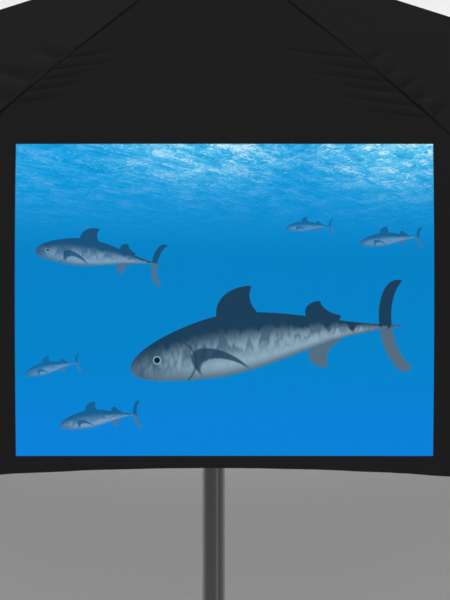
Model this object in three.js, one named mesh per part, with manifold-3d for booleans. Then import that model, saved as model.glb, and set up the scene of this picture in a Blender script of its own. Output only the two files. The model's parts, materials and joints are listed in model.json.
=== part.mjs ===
// A stick umbrella with eight ribs and a crook handle, open and laid on the floor as when left to dry.
// Millimetres. It rests on two rib tips and on the bend of the crook, with one panel facing up.
// Every piece is drawn in the umbrella's own frame, with +Z along the shaft towards the ferrule and
// the hinges of the ribs at height 0. One turned group then lays the whole umbrella down.
import * as THREE from 'three';
import { mergeVertices } from 'three/addons/utils/BufferGeometryUtils.js';
import Module from 'manifold-3d';

const wasm = await Module();
wasm.setup();

// Canopy
const ribCount = 8;
const rimRadius = 530; // from the axis to the end of the cloth on a rib
const crownSlope = 0.29; // fall of a rib at the crown
const rimFall = 0.12; // further fall at the rim, over the rim radius
const rimPower = 4; // how late that further fall comes
const clothThickness = 0.8;
const clothHole = 6.5; // where the cloth ends around the shaft
const hemArch = 23; // how far along the cloth the hem rises between two ribs
const panelSag = 6; // how far the middle of a panel is drawn in near the rim
const panelGap = 0.3; // between two gores, along the middle of a panel
const ribSteps = 12;
const acrossSteps = 2; // on each side of a rib

// Ribs
const ribRadius = 1.5;
const hingeRadius = 10; // of the hinges, from the axis
const jointRadius = 250; // where a stretcher meets its rib, from the axis
const jointDrop = 4.2; // of that pivot under the rib's middle
const stretcherSide = 4; // how far a stretcher runs beside the plane of its rib
const stretcherWidth = 2;
const stretcherDepth = 3.4;
const tipLength = 14;
const tipBallRadius = 3;

// Shaft and its fittings
const shaftRadius = 5;
const shaftWall = 0.8;
const shaftTop = 21;
const ferruleTop = 62;
const hubRadius = 14;
const sleeveRadius = 7.4;
const runnerLength = 44;
const runnerPlay = 0.4; // between the runner and the shaft
const clearance = 0.3; // between pieces that touch
const slotPlay = 0.45; // on each side of a rib or stretcher in its slot

// Handle
const handleTop = -640;
const crookBottom = -800; // the middle of the bent grip at its lowest
const crookRadius = 31;
const crookRise = 24; // of the short end beyond the bend
const gripRadius = 11;
const shaftInHandle = 50;

const sector = (2 * Math.PI) / ribCount;
const halfSector = sector / 2;
const clothInside = ribRadius + 0.35; // from a rib's middle to the inner face of the cloth
const clothOutside = clothInside + clothThickness;

// The rib's line and the cloth over it

function fall(radius) {
  const share = radius / rimRadius;
  return rimRadius * (crownSlope * share + rimFall * share ** rimPower);
}

function fallSlope(radius) {
  return crownSlope + rimFall * rimPower * (radius / rimRadius) ** (rimPower - 1);
}

function ribHeight(radius) {
  return fall(hingeRadius) - fall(radius);
}

// A rib's middle line, from its hinge, in the plane of the rib with +X away from the shaft
class RibLine extends THREE.Curve {
  getPoint(share, target = new THREE.Vector3()) {
    const radius = hingeRadius + (rimRadius - hingeRadius) * share;
    return target.set(radius - hingeRadius, 0, ribHeight(radius));
  }
}

const ribLine = new RibLine();
const stations = ribLine.getSpacedPoints(ribSteps).map((point) => point.x + hingeRadius);

// A point of the cloth. side runs from -1 to 1 across a gore, with 0 on its rib and the ends on the
// middles of the two panels. Between two ribs the cloth is a level chord, drawn in a little by its pull.
function clothPoint(side, station, offset) {
  const across = Math.abs(side);
  const bulge = across * (2 - across);
  const hemRadius = rimRadius - (hemArch * bulge) / Math.hypot(1, fallSlope(rimRadius));
  const share = (station - clothHole) / (rimRadius - clothHole);
  const radius = clothHole + (hemRadius - clothHole) * share;
  const halfChord = radius * Math.sin(halfSector);
  const along = Math.max(0, across * halfChord - (across === 1 ? panelGap / 2 : 0));
  const drawn = panelSag * (radius / rimRadius) ** 2 * bulge;
  const slope = fallSlope(radius) / Math.cos(halfSector);
  return new THREE.Vector3(
    radius - along * Math.sin(halfSector) - drawn * Math.cos(halfSector),
    Math.sign(side) * (along * Math.cos(halfSector) - drawn * Math.sin(halfSector)),
    ribHeight(radius) + offset * Math.hypot(1, slope),
  );
}

// Solids

function toSolid(geometry) {
  const plain = geometry.clone();
  plain.deleteAttribute('normal');
  plain.deleteAttribute('uv');
  const merged = mergeVertices(plain, 1e-4);
  return new wasm.Manifold(new wasm.Mesh({
    numProp: 3,
    vertProperties: new Float32Array(merged.attributes.position.array),
    triVerts: new Uint32Array(merged.index.array),
  }));
}

function toGeometry(solid) {
  const mesh = solid.getMesh();
  const geometry = new THREE.BufferGeometry();
  geometry.setAttribute('position', new THREE.BufferAttribute(mesh.vertProperties, 3));
  geometry.setIndex(new THREE.BufferAttribute(mesh.triVerts, 1));
  return geometry;
}

function joined(...geometries) {
  return toGeometry(geometries.map(toSolid).reduce((whole, piece) => whole.add(piece)));
}

function cut(geometry, ...tools) {
  return toGeometry(tools.map(toSolid).reduce((whole, tool) => whole.subtract(tool), toSolid(geometry)));
}

function turned(points, segments = 20) {
  const profile = points.map(([radius, height]) => new THREE.Vector2(radius, height));
  return new THREE.LatheGeometry(profile, segments).rotateX(Math.PI / 2);
}

// A ring or tube about the axis, from its outline listed up the outside and down the inside
function turnedRing(points, segments) {
  return turned([...points, points[0]], segments);
}

function rod(radius, from, to, sides = 12) {
  const middle = new THREE.Vector3().addVectors(from, to).multiplyScalar(0.5);
  const run = new THREE.Vector3().subVectors(to, from);
  const turn = new THREE.Quaternion().setFromUnitVectors(
    new THREE.Vector3(0, 1, 0),
    run.clone().normalize(),
  );
  return new THREE.CylinderGeometry(radius, radius, run.length(), sides)
    .applyQuaternion(turn)
    .translate(middle.x, middle.y, middle.z);
}

function roundShape(radius) {
  return new THREE.Shape().absarc(0, 0, radius, 0, 2 * Math.PI, false);
}

function swept(curve, radius, steps, sides) {
  return new THREE.ExtrudeGeometry(roundShape(radius), {
    extrudePath: curve,
    steps,
    curveSegments: sides / 2,
  });
}

// A disc with one slot for each rib, open at the rim, with a bore for the shaft
function slottedDisc(bore, slotFloor, slotMiddle, slotWidth, bottom, top) {
  const disc = turnedRing([[hubRadius, bottom], [hubRadius, top], [bore, top], [bore, bottom]], 24);
  const reach = 2 * hubRadius;
  const slots = Array.from({ length: ribCount }, (_, index) =>
    new THREE.BoxGeometry(reach, slotWidth, reach)
      .translate(slotFloor + reach / 2, slotMiddle, (bottom + top) / 2)
      .rotateZ(ribAngle(index)));
  return cut(disc, ...slots);
}

// The front panel is centred on -Y, and rib 1 is the one to the right of it
function ribAngle(index) {
  return -Math.PI / 2 + halfSector + index * sector;
}

// Colours and finishes, one material for each piece
function finish(color, roughness, metalness = 0) {
  return new THREE.MeshStandardMaterial({ color, roughness, metalness });
}

const blackCloth = () => finish(0x232425, 0.82);
const blackPaint = () => finish(0x0c0c0d, 0.35, 0.6);
const blackPlastic = () => finish(0x101011, 0.45);
const fibreRod = () => finish(0x141415, 0.5);
const blackNickel = () => finish(0x3a3b3d, 0.25, 0.9);
const blackRubber = () => finish(0x151516, 0.7);

function addPiece(parent, name, geometry, material, position = new THREE.Vector3()) {
  const mesh = new THREE.Mesh(geometry, material);
  mesh.name = name;
  mesh.position.copy(position);
  parent.add(mesh);
  return mesh;
}

// Gore: the cloth over one rib, from the middle of one panel to the middle of the next

function goreGeometry() {
  const rows = [clothHole, ...stations];
  const columns = 2 * acrossSteps + 1;
  const positions = [];
  for (const offset of [clothInside, clothOutside]) {
    for (const station of rows) {
      for (let column = 0; column < columns; column += 1) {
        positions.push(...clothPoint(column / acrossSteps - 1, station, offset));
      }
    }
  }
  const layer = rows.length * columns;
  const faces = [];
  const quad = (a, b, c, d) => faces.push(a, b, c, a, c, d);
  for (let row = 0; row + 1 < rows.length; row += 1) {
    for (let column = 0; column + 1 < columns; column += 1) {
      const corner = row * columns + column;
      const next = corner + columns;
      quad(corner, corner + 1, next + 1, next);
      quad(layer + corner, layer + next, layer + next + 1, layer + corner + 1);
    }
  }
  const edge = (from, to) => quad(from, to, layer + to, layer + from);
  for (let column = 0; column + 1 < columns; column += 1) {
    const rim = (rows.length - 1) * columns + column;
    edge(column + 1, column);
    edge(rim, rim + 1);
  }
  for (let row = 0; row + 1 < rows.length; row += 1) {
    const start = row * columns;
    edge(start, start + columns);
    edge(start + 2 * columns - 1, start + columns - 1);
  }
  const geometry = new THREE.BufferGeometry();
  geometry.setAttribute('position', new THREE.Float32BufferAttribute(positions, 3));
  geometry.setIndex(faces);
  return geometry;
}

// Linkage: the stretcher's two ends and the rib's hinge make a triangle with two equal sides,
// so the stretcher's inner end stays beside the shaft all the way

const jointNormal = new THREE.Vector2(fallSlope(jointRadius), 1).normalize();
const ribJoint = new THREE.Vector3(
  jointRadius - jointDrop * jointNormal.x,
  0,
  ribHeight(jointRadius) - jointDrop * jointNormal.y,
);
const runnerHeight = 2 * ribJoint.z;

// A U-shaped clip under the rib, with a lug and the pin that the stretcher turns on
function saddleGeometry() {
  const outer = 2.5;
  const inner = ribRadius + clearance;
  const length = 11;
  const base = -outer - 0.2;
  const shape = new THREE.Shape([
    [-outer, 0.2], [-outer, base], [outer, base], [outer, 0.2],
    [inner, 0.2], [inner, -inner], [-inner, -inner], [-inner, 0.2],
  ].map(([x, y]) => new THREE.Vector2(x, y)));
  const clip = new THREE.ExtrudeGeometry(shape, { depth: length, bevelEnabled: false })
    .translate(0, jointDrop, -length / 2)
    .rotateX(Math.PI / 2)
    .rotateZ(Math.PI / 2);
  const lugHeight = jointDrop + base + 1.8;
  const lug = new THREE.BoxGeometry(4.4, 2, lugHeight)
    .translate(0, 0, jointDrop + base + 0.2 - lugHeight / 2);
  const headStart = stretcherSide + stretcherWidth / 2 + clearance;
  const pin = rod(0.9, new THREE.Vector3(0, 0, 0), new THREE.Vector3(0, headStart + 0.2, 0), 8);
  const head = rod(1.8, new THREE.Vector3(0, headStart, 0), new THREE.Vector3(0, headStart + 0.7, 0), 8);
  return joined(clip, lug, pin, head).rotateY(Math.atan(fallSlope(jointRadius)));
}

// A flat bar with a round eye at each end, from its pivot on the rib to the runner
function stretcherGeometry() {
  const length = Math.hypot(ribJoint.x - hingeRadius, ribJoint.z);
  const eye = 2.1;
  const shape = new THREE.Shape()
    .absarc(0, 0, eye, Math.PI / 2, (3 * Math.PI) / 2, false)
    .lineTo(2 * eye, -stretcherDepth / 2)
    .lineTo(length - 2 * eye, -stretcherDepth / 2)
    .absarc(length, 0, eye, -Math.PI / 2, Math.PI / 2, false)
    .lineTo(length - 2 * eye, stretcherDepth / 2)
    .lineTo(2 * eye, stretcherDepth / 2);
  shape.holes.push(new THREE.Path().absarc(0, 0, 1.25, 0, 2 * Math.PI, true));
  return new THREE.ExtrudeGeometry(shape, { depth: stretcherWidth, bevelEnabled: false, curveSegments: 4 })
    .translate(0, 0, -stretcherWidth / 2 - stretcherSide)
    .rotateX(Math.PI / 2)
    .rotateY(Math.PI + Math.atan2(ribJoint.z, ribJoint.x - hingeRadius));
}

function tipGeometry() {
  const neck = 2;
  const ballHeight = tipLength - tipBallRadius;
  const ballSteps = 4;
  const neckAngle = Math.asin(neck / tipBallRadius);
  const ball = Array.from({ length: ballSteps + 1 }, (_, index) => {
    const angle = neckAngle + ((Math.PI - neckAngle) * index) / ballSteps;
    return [tipBallRadius * Math.sin(angle), ballHeight - tipBallRadius * Math.cos(angle)];
  });
  ball[ballSteps][0] = 0;
  return turned([[0, clearance], [neck, clearance], ...ball], 10)
    .rotateY(Math.PI / 2 + Math.atan(fallSlope(rimRadius)));
}

// Crook: straight down, half a turn sideways, then a short way up
class CrookLine extends THREE.Curve {
  getPoint(share, target = new THREE.Vector3()) {
    const straight = handleTop - crookBottom - crookRadius;
    const bend = Math.PI * crookRadius;
    const run = share * (straight + bend + crookRise);
    if (run < straight) return target.set(0, 0, handleTop - run);
    if (run > straight + bend) {
      return target.set(2 * crookRadius, 0, crookBottom + crookRadius + run - straight - bend);
    }
    const turn = (run - straight) / crookRadius;
    return target.set(
      crookRadius * (1 - Math.cos(turn)),
      0,
      crookBottom + crookRadius * (1 - Math.sin(turn)),
    );
  }
}

function handleGeometry() {
  const crook = swept(new CrookLine(), gripRadius, 21, 16);
  const end = new THREE.SphereGeometry(gripRadius * 0.99, 14, 8)
    .translate(2 * crookRadius, 0, crookBottom + crookRadius + crookRise);
  const bore = rod(
    shaftRadius + clearance,
    new THREE.Vector3(0, 0, handleTop + 1),
    new THREE.Vector3(0, 0, handleTop - shaftInHandle - clearance),
    20,
  );
  return cut(joined(crook, end), bore);
}

function shaftGeometry() {
  const inner = shaftRadius - shaftWall;
  const bottom = handleTop - shaftInHandle;
  const tube = turnedRing([
    [shaftRadius, bottom], [shaftRadius, shaftTop], [inner, shaftTop], [inner, bottom],
  ]);
  const slot = new THREE.BoxGeometry(2, 8, catchLength + 4)
    .translate(0, -shaftRadius, catchTop - catchLength / 2);
  return cut(tube, slot);
}

// Catch: a thin sprung wedge through a slot in the shaft, that holds the runner up
const catchLength = 18;
const catchTop = runnerHeight + 2.5 - runnerLength - 0.5;

function catchGeometry() {
  const shape = new THREE.Shape([[-2, 0], [-8, 0], [-5.4, -catchLength], [-2, -catchLength]]
    .map(([y, z]) => new THREE.Vector2(y, z)));
  return new THREE.ExtrudeGeometry(shape, { depth: 1.2, bevelEnabled: false })
    .translate(0, 0, -0.6)
    .rotateX(Math.PI / 2)
    .rotateZ(Math.PI / 2)
    .translate(0, 0, catchTop);
}

// Runner: a sleeve with a slotted crown, drawn about the height of its crown
function runnerGeometry() {
  const bore = shaftRadius + runnerPlay;
  const crown = 2.5;
  const bottom = crown - runnerLength;
  const sleeve = turnedRing([
    [sleeveRadius + 0.3, bottom], [sleeveRadius + 0.3, bottom + 4], [sleeveRadius, bottom + 6],
    [sleeveRadius, crown], [bore, crown], [bore, bottom],
  ]);
  const disc = slottedDisc(
    bore,
    sleeveRadius + 0.2,
    stretcherSide,
    stretcherWidth + 2 * slotPlay,
    -crown,
    crown,
  );
  return joined(sleeve, disc);
}

function hubGeometry() {
  const bore = shaftRadius + clearance;
  const bottom = -4;
  const neck = turnedRing([[sleeveRadius, bottom - 9], [sleeveRadius, -1], [bore, -1], [bore, bottom - 9]]);
  const slotWidth = 2 * (ribRadius + slotPlay);
  return joined(slottedDisc(bore, sleeveRadius + 0.4, 0, slotWidth, bottom, 0), neck);
}

function capGeometry() {
  const bore = shaftRadius + clearance;
  const rim = 17;
  const under = (radius) =>
    ribHeight(radius) + clothOutside * Math.hypot(1, crownSlope / Math.cos(halfSector)) + 0.4;
  return turnedRing([
    [rim, under(rim)], [rim, under(rim) + 1.2], [13, under(13) + 2.6], [9, under(9) + 3.4],
    [bore, under(9) + 3.4], [bore, under(bore)],
  ]);
}

function ferruleGeometry() {
  const bore = shaftRadius + clearance;
  const base = 9.5;
  return turned([
    [0, shaftTop + clearance], [bore, shaftTop + clearance], [bore, base], [7.4, base],
    [7.4, base + 4], [6.2, base + 9], [4.8, ferruleTop - 3], [4.3, ferruleTop], [0, ferruleTop],
  ]);
}

function collarGeometry() {
  const bore = shaftRadius + clearance;
  const bottom = handleTop + clearance;
  return turnedRing([
    [gripRadius, bottom], [gripRadius, bottom + 8], [7.6, bottom + 15], [7, bottom + 20],
    [bore, bottom + 20], [bore, bottom],
  ]);
}

// The whole umbrella

const umbrella = new THREE.Group();
addPiece(umbrella, 'shaft', shaftGeometry(), blackPaint());
addPiece(umbrella, 'top_catch', catchGeometry(), blackNickel());
addPiece(umbrella, 'hub', hubGeometry(), blackPlastic());
addPiece(umbrella, 'top_cap', capGeometry(), blackPlastic());
addPiece(umbrella, 'ferrule', ferruleGeometry(), blackNickel());
addPiece(umbrella, 'collar', collarGeometry(), blackNickel());
addPiece(umbrella, 'handle', handleGeometry(), blackRubber());
addPiece(umbrella, 'runner', runnerGeometry(), blackPlastic(), new THREE.Vector3(0, 0, runnerHeight));

const hinge = new THREE.Vector3(hingeRadius, 0, 0);
const ribEnd = new THREE.Vector3(rimRadius, 0, ribHeight(rimRadius));
for (let index = 0; index < ribCount; index += 1) {
  const number = index + 1;
  const spoke = new THREE.Group();
  spoke.rotation.z = ribAngle(index);
  umbrella.add(spoke);
  addPiece(spoke, `rib_${number}`, swept(ribLine, ribRadius, ribSteps, 8), fibreRod(), hinge);
  addPiece(spoke, `tip_${number}`, tipGeometry(), blackPlastic(), ribEnd);
  addPiece(spoke, `saddle_${number}`, saddleGeometry(), blackPlastic(), ribJoint);
  addPiece(spoke, `stretcher_${number}`, stretcherGeometry(), blackPaint(), ribJoint);
  addPiece(spoke, `gore_${number}`, goreGeometry(), blackCloth());
}

// The lie: the line from the balls of the two lowest rib tips to the bend of the crook is level
const tipTurn = Math.atan(fallSlope(rimRadius));
const ballReach = rimRadius + (tipLength - tipBallRadius) * Math.cos(tipTurn);
const ballHeight = ribHeight(rimRadius) - (tipLength - tipBallRadius) * Math.sin(tipTurn);
const contactSide = ballReach * Math.cos(halfSector);
const contactDepth = ballHeight - crookBottom;
const lie = Math.atan2(contactSide, contactDepth)
  + Math.asin((tipBallRadius - gripRadius) / Math.hypot(contactSide, contactDepth));
umbrella.rotation.x = lie - Math.PI / 2;

const part = new THREE.Group();
part.add(umbrella);
part.updateMatrixWorld(true);
const box = new THREE.Box3().setFromObject(part, true);
const middle = box.getCenter(new THREE.Vector3());
umbrella.position.set(-middle.x, -middle.y, -box.min.z);

export default part;
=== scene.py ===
"""Finished surfaces of an open stick umbrella with a printed front panel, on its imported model.

Metres. Shapes are worked out in the umbrella's own axes, with the third one along the shaft towards the
ferrule and the hinges of the ribs at height 0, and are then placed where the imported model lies.
"""
import json
import math

import bmesh
import bpy
import numpy as np
from bpy.props import FloatProperty, FloatVectorProperty, PointerProperty
from mathutils import Matrix, Vector


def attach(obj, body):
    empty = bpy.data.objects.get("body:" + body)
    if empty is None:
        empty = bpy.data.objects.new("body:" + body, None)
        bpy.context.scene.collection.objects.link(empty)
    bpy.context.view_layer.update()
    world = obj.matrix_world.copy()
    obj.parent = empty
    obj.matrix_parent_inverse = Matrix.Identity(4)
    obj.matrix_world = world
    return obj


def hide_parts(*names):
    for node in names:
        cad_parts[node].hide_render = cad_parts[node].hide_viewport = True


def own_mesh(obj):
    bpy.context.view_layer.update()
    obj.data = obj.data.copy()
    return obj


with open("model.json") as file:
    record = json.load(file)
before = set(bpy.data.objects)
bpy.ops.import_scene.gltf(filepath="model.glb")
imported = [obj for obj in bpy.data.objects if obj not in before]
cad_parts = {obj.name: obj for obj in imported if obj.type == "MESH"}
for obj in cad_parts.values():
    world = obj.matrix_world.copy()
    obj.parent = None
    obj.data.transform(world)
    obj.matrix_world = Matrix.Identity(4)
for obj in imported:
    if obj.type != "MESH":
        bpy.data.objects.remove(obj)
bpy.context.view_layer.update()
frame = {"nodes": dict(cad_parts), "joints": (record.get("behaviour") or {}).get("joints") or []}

bl_info = {
    "name": "Open Umbrella",
    "version": (1, 0, 0),
    "blender": (4, 5, 0),
    "location": "3D View > Sidebar > Umbrella",
    "description": "Builds the cloth, ribs, linkage, shaft and handle of an open umbrella and its stage",
    "category": "Object",
}

MM = 0.001

# Where the umbrella lies: its axes as rows, and the point of its axis at the height of the hinges
JOINTS = {joint["name"]: joint for joint in frame["joints"]}
RIB_NUMBERS = range(1, 1 + sum(name.startswith("rib_") for name in JOINTS))
HINGES = np.array([JOINTS[f"rib_{number}_fold"]["pos_m"] for number in RIB_NUMBERS])
CENTRE = HINGES.mean(axis=0)
ALONG = -np.array(JOINTS["runner_slide"]["axis"])
ACROSS = np.array([1.0, 0.0, 0.0])
UMBRELLA = np.stack([ACROSS, np.cross(ALONG, ACROSS), ALONG])
FRONT_RIBS = (8, 1)

# The line of a rib, as in the model of the frame
RIM_RADIUS = 530 * MM
HINGE_RADIUS = float(np.linalg.norm(HINGES[0] - CENTRE))
HINGE = np.array([HINGE_RADIUS, 0, 0])  # in a rib's own axes
CROWN_SLOPE = 0.29
RIM_FALL = 0.12
RIM_POWER = 4
RIB_RADIUS = 1.5 * MM
HALF_SECTOR = math.pi / len(RIB_NUMBERS)

# The cloth between two ribs
CLOTH_HOLE = 6.5 * MM
CLOTH_SPAN = RIM_RADIUS - CLOTH_HOLE
CROWN_EDGE = 18.8 * MM  # the cloth inside this radius stays on the hub
HEM_ARCH = 23 * MM
PANEL_SAG = 6 * MM
CLOTH_TOP = 2.45 * MM  # from a rib's middle to the outer face, before any relief
CLOTH_THICKNESS = 0.28 * MM
SEAM_ALLOWANCE = 7.6 * MM
SEAM_COLUMNS = np.array([0, 0.2, 0.4, 0.65, 0.95, 1.35, 1.9, 2.6, 3.5, 4.7, 6.2, 7.4, 7.8, 8.2]) * MM
STRIP_COLUMNS = 5
FLAP_COLUMNS = 20

# How the cloth is split for folding: a strip along each rib, and the rest of each half panel, which would lie
# pressed flat beside the plane through the shaft and the panel's middle
FOLD_ANGLE = math.radians(JOINTS["rib_1_fold"]["range_deg"][1])
FOLD_GAP = 0.28 * MM
FOLD_LEAN = 0.0070

# The linkage and the fittings
JOINT_RADIUS = 250 * MM
JOINT_DROP = 4.2 * MM
STRETCHER_SIDE = 4 * MM
STRETCHER_WIDTH = 2 * MM
STRETCHER_DEPTH = 3.4 * MM
STRETCHER_WALL = 0.42 * MM
EYE_RADIUS = 2.1 * MM
EYE_HOLE = 1.25 * MM
TIP_LENGTH = 14 * MM
TIP_BALL = 3 * MM
TIP_NECK = 2 * MM
TIE_RADII = (0.13, 0.37, 0.524)
THREAD = 0.28 * MM
THREAD_TURNS = 3
CAP_RADIUS = 17 * MM
BORE = 5.3 * MM  # the shaft's radius and its clearance
HANDLE_TOP = -640 * MM
HANDLE_WELL = 20 * MM
CROOK_RADIUS = 31 * MM
CROOK_STRAIGHT = 129 * MM
CROOK_RISE = 24 * MM
GRIP_RADIUS = 11 * MM
GRIP_EDGE = 1.2 * MM
MOULD_LINE = 0.30 * MM

# Sides of the rods, and roundings of edges
ROD_SIDES = 20
GRIP_SIDES = 48
ROD_EDGE = 0.4 * MM
CLIP_EDGE = 0.22 * MM
EYE_EDGE = 0.3 * MM
TIP_EDGE = 0.4 * MM
TUBE_EDGE = 0.12 * MM
CATCH_EDGE = 0.2 * MM
FITTING_EDGE = 0.3 * MM
LATHE_EDGE = 0.5 * MM

# The photograph's view of the printed panel, in its 450 by 600 frame
PHOTO_WIDTH, PHOTO_HEIGHT = 450, 600
CAMERA_DISTANCE = 3.8
CAMERA_RAISE = 0.0465
PIXELS_PER_METRE = 2233
AXIS_PIXEL = 213.6
APEX_PIXEL = -57.8
APEX_HEIGHT = 5.7 * MM
PRINT_PROPORTION = 417 / 312  # width over height

# The stage: how far the floor reaches and lies under the object, and the place and size of each light
FLOOR_REACH = 40.0
FLOOR_DROP = 0.2 * MM
KEY_LIGHT = (Vector((-1.2, -0.6, 4.2)), 3.0)
FILL_LIGHT = (Vector((2.4, -3.6, 2.2)), 2.4)


# Lines and surfaces of the cloth

def fall(radius):
    """Fall of a rib under its top: a straight slope and a steep power of the radius, over the rim radius."""
    share = radius / RIM_RADIUS
    return RIM_RADIUS * (CROWN_SLOPE * share + RIM_FALL * share**RIM_POWER)


def fall_slope(radius):
    """Derivative of the fall by the radius."""
    return CROWN_SLOPE + RIM_FALL * RIM_POWER * (radius / RIM_RADIUS) ** (RIM_POWER - 1)


def rib_height(radius):
    """Height of a rib's middle line over its hinge."""
    return fall(HINGE_RADIUS) - fall(radius)


def rib_point(radius, drop=0.0):
    """A point of a rib's middle line, or so far square under it."""
    slope = fall_slope(radius)
    size = np.hypot(1, slope)
    return np.stack([radius - drop * slope / size, 0 * radius, rib_height(radius) - drop / size], axis=-1)


def smooth_step(value, low, high):
    """0 below low, 1 above high, and the cubic 3t^2 - 2t^3 between them."""
    share = np.clip((value - low) / (high - low), 0, 1)
    return share * share * (3 - 2 * share)


def bell(value, width):
    """The Gaussian bell: 1 at 0, and 1/e at the width."""
    return np.exp(-((value / width) ** 2))


def panel_point(across, share, side, offset):
    """A point of the cloth in a rib's own axes, away from the shaft, along the hinge and along the shaft.
    across is 0 on the rib and 1 on the middle of the panel, share is 0 at the shaft and 1 at the hem. The
    cloth is a level chord between two ribs, drawn in by its pull, with a hem that rises between them."""
    bulge = across * (2 - across)
    hem_radius = RIM_RADIUS - HEM_ARCH * bulge / math.hypot(1, fall_slope(RIM_RADIUS))
    radius = CLOTH_HOLE + (hem_radius - CLOTH_HOLE) * share
    along = across * radius * math.sin(HALF_SECTOR)
    drawn = PANEL_SAG * (radius / RIM_RADIUS) ** 2 * bulge
    lift = offset * np.hypot(1, fall_slope(radius) / math.cos(HALF_SECTOR))
    away = radius - along * math.sin(HALF_SECTOR) - drawn * math.cos(HALF_SECTOR)
    aside = side * (along * math.cos(HALF_SECTOR) - drawn * math.sin(HALF_SECTOR))
    return np.stack([away, aside, rib_height(radius) + lift], axis=-1)


def spoke_axes(number):
    """The axes of one rib as rows: away from the shaft, along its hinge, and along the shaft."""
    hinge = np.array(JOINTS[f"rib_{number}_fold"]["axis"])
    return np.stack([np.cross(hinge, ALONG), hinge, ALONG])


def placed(points, axes):
    """Points given in the umbrella's or a rib's axes, in the frame's axes."""
    return CENTRE + points @ axes


# Meshes from grids of points

def quads(numbers):
    """The four corners of every cell of a grid of numbers."""
    cells = [numbers[:-1, :-1], numbers[:-1, 1:], numbers[1:, 1:], numbers[1:, :-1]]
    return np.stack(cells, axis=-1).reshape(-1, 4)


def closed_up(grid):
    """A grid with its first column again after its last."""
    return np.concatenate([grid, grid[:, :1]], axis=1)


def gaps(points, axis=0):
    """Distances between neighbouring points of a line, or of a grid along one of its directions."""
    return np.linalg.norm(np.diff(points, axis=axis), axis=-1)


class Surface:
    """Gathers grids of points into one mesh. Each grid comes with its UV maps, or else gets one of distances
    in metres down the rows and along the columns."""

    def __init__(self, maps=("along",)):
        self.points, self.corners = [], []
        self.layers = {name: [] for name in maps}
        self.size = 0

    def add_faces(self, numbers, maps):
        """Adds the cells of a grid of point numbers, with the values of its maps."""
        self.corners.append(quads(numbers))
        for name, values in maps.items():
            places = quads(np.arange(values[..., 0].size).reshape(values.shape[:2]))
            self.layers[name].append(values.reshape(-1, 2)[places].reshape(-1, 2))

    def add(self, points, closed=False, **maps):
        """Adds a grid of points. In a closed one the last column meets the first."""
        numbers = self.size + np.arange(points[..., 0].size).reshape(points.shape[:2])
        self.size += numbers.size
        self.points.append(points.reshape(-1, 3))
        if closed:
            numbers, points = closed_up(numbers), closed_up(points)
        if not maps:
            down, along = gaps(points).mean(axis=1), gaps(points, 1).max(axis=0)
            grid = np.meshgrid(np.append(0, np.cumsum(down)), np.append(0, np.cumsum(along)), indexing="ij")
            maps = {"along": np.stack(grid, axis=-1)}
        self.add_faces(numbers, maps)
        return numbers

    def add_shell(self, outer, inner, **maps):
        """Adds two grids of the same size, and the walls between their edges."""
        back = {name: values[:, ::-1] for name, values in maps.items()}
        first, second = self.add(outer, **maps), self.add(inner[:, ::-1], **back)[:, ::-1]

        def edge(grid):
            return np.concatenate([grid[0], grid[1:, -1], grid[-1, -2::-1], grid[-2::-1, 0]])

        walls = {name: np.stack([edge(values), edge(values)]) for name, values in maps.items()}
        self.add_faces(np.stack([edge(first), edge(second)]), walls)

    def make(self, name, body, material, axes=UMBRELLA, crease=40):
        """The object: points placed, poles merged, faces turned outwards, edges sharper than crease kept."""
        points, corners = placed(np.concatenate(self.points), axes), np.concatenate(self.corners)
        mesh = bpy.data.meshes.new(name)
        mesh.vertices.add(len(points))
        mesh.vertices.foreach_set("co", points.ravel())
        mesh.loops.add(corners.size)
        mesh.loops.foreach_set("vertex_index", corners.ravel())
        mesh.polygons.add(len(corners))
        mesh.polygons.foreach_set("loop_start", np.arange(0, corners.size, 4))
        mesh.update(calc_edges=True)
        for layer_name, layer in self.layers.items():
            mesh.uv_layers.new(name=layer_name).uv.foreach_set("vector", np.concatenate(layer).ravel())
        close_mesh(mesh)
        return finished(mesh, name, body, material, crease)


def close_mesh(mesh, flat_angle=None):
    """Merges equal points, joins faces in one plane if flat_angle is given, turns faces outwards."""
    shape = bmesh.new()
    shape.from_mesh(mesh)
    bmesh.ops.remove_doubles(shape, verts=shape.verts, dist=1e-6)
    if flat_angle:
        bmesh.ops.dissolve_limit(shape, angle_limit=flat_angle, verts=shape.verts, edges=shape.edges)
    bmesh.ops.recalc_face_normals(shape, faces=shape.faces)
    shape.to_mesh(mesh)
    shape.free()


def finished(mesh, name, body, material, crease):
    """An object of the scene from a mesh, smooth but for its creases, riding on its body."""
    mesh.polygons.foreach_set("use_smooth", np.ones(len(mesh.polygons), bool))
    mesh.set_sharp_from_angle(angle=math.radians(crease))
    mesh.materials.clear()
    mesh.materials.append(material)
    piece = bpy.data.objects.new(name, mesh)
    bpy.context.scene.collection.objects.link(piece)
    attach(piece, body)
    return piece


def refined(node, name, body, material, round_edge):
    """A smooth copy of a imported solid, with its edges rounded by a bevel."""
    mesh = frame["nodes"][node].data.copy()
    close_mesh(mesh, flat_angle=math.radians(0.5))
    piece = finished(mesh, name, body, material, crease=35)
    bevel = piece.modifiers.new("rounded edges", "BEVEL")
    bevel.width = round_edge
    bevel.segments = 2
    bevel.limit_method = "ANGLE"
    bevel.angle_limit = math.radians(35)
    bevel.harden_normals = True
    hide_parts(node)


def gridded(grids, name, body, material, node=None, axes=UMBRELLA):
    """A piece made of closed grids of points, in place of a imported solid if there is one."""
    surface = Surface()
    for grid in grids:
        surface.add(grid, closed=True)
    piece = surface.make(name, body, material, axes)
    if node:
        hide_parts(node)


def round_steps(steps):
    """Even steps once round a circle, without the last one, which is the first again."""
    return np.linspace(0, math.tau, steps, endpoint=False)


def circle(sides):
    """A closed outline: a circle of radius 1."""
    return np.stack([np.cos(round_steps(sides)), np.sin(round_steps(sides))], axis=-1)


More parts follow.
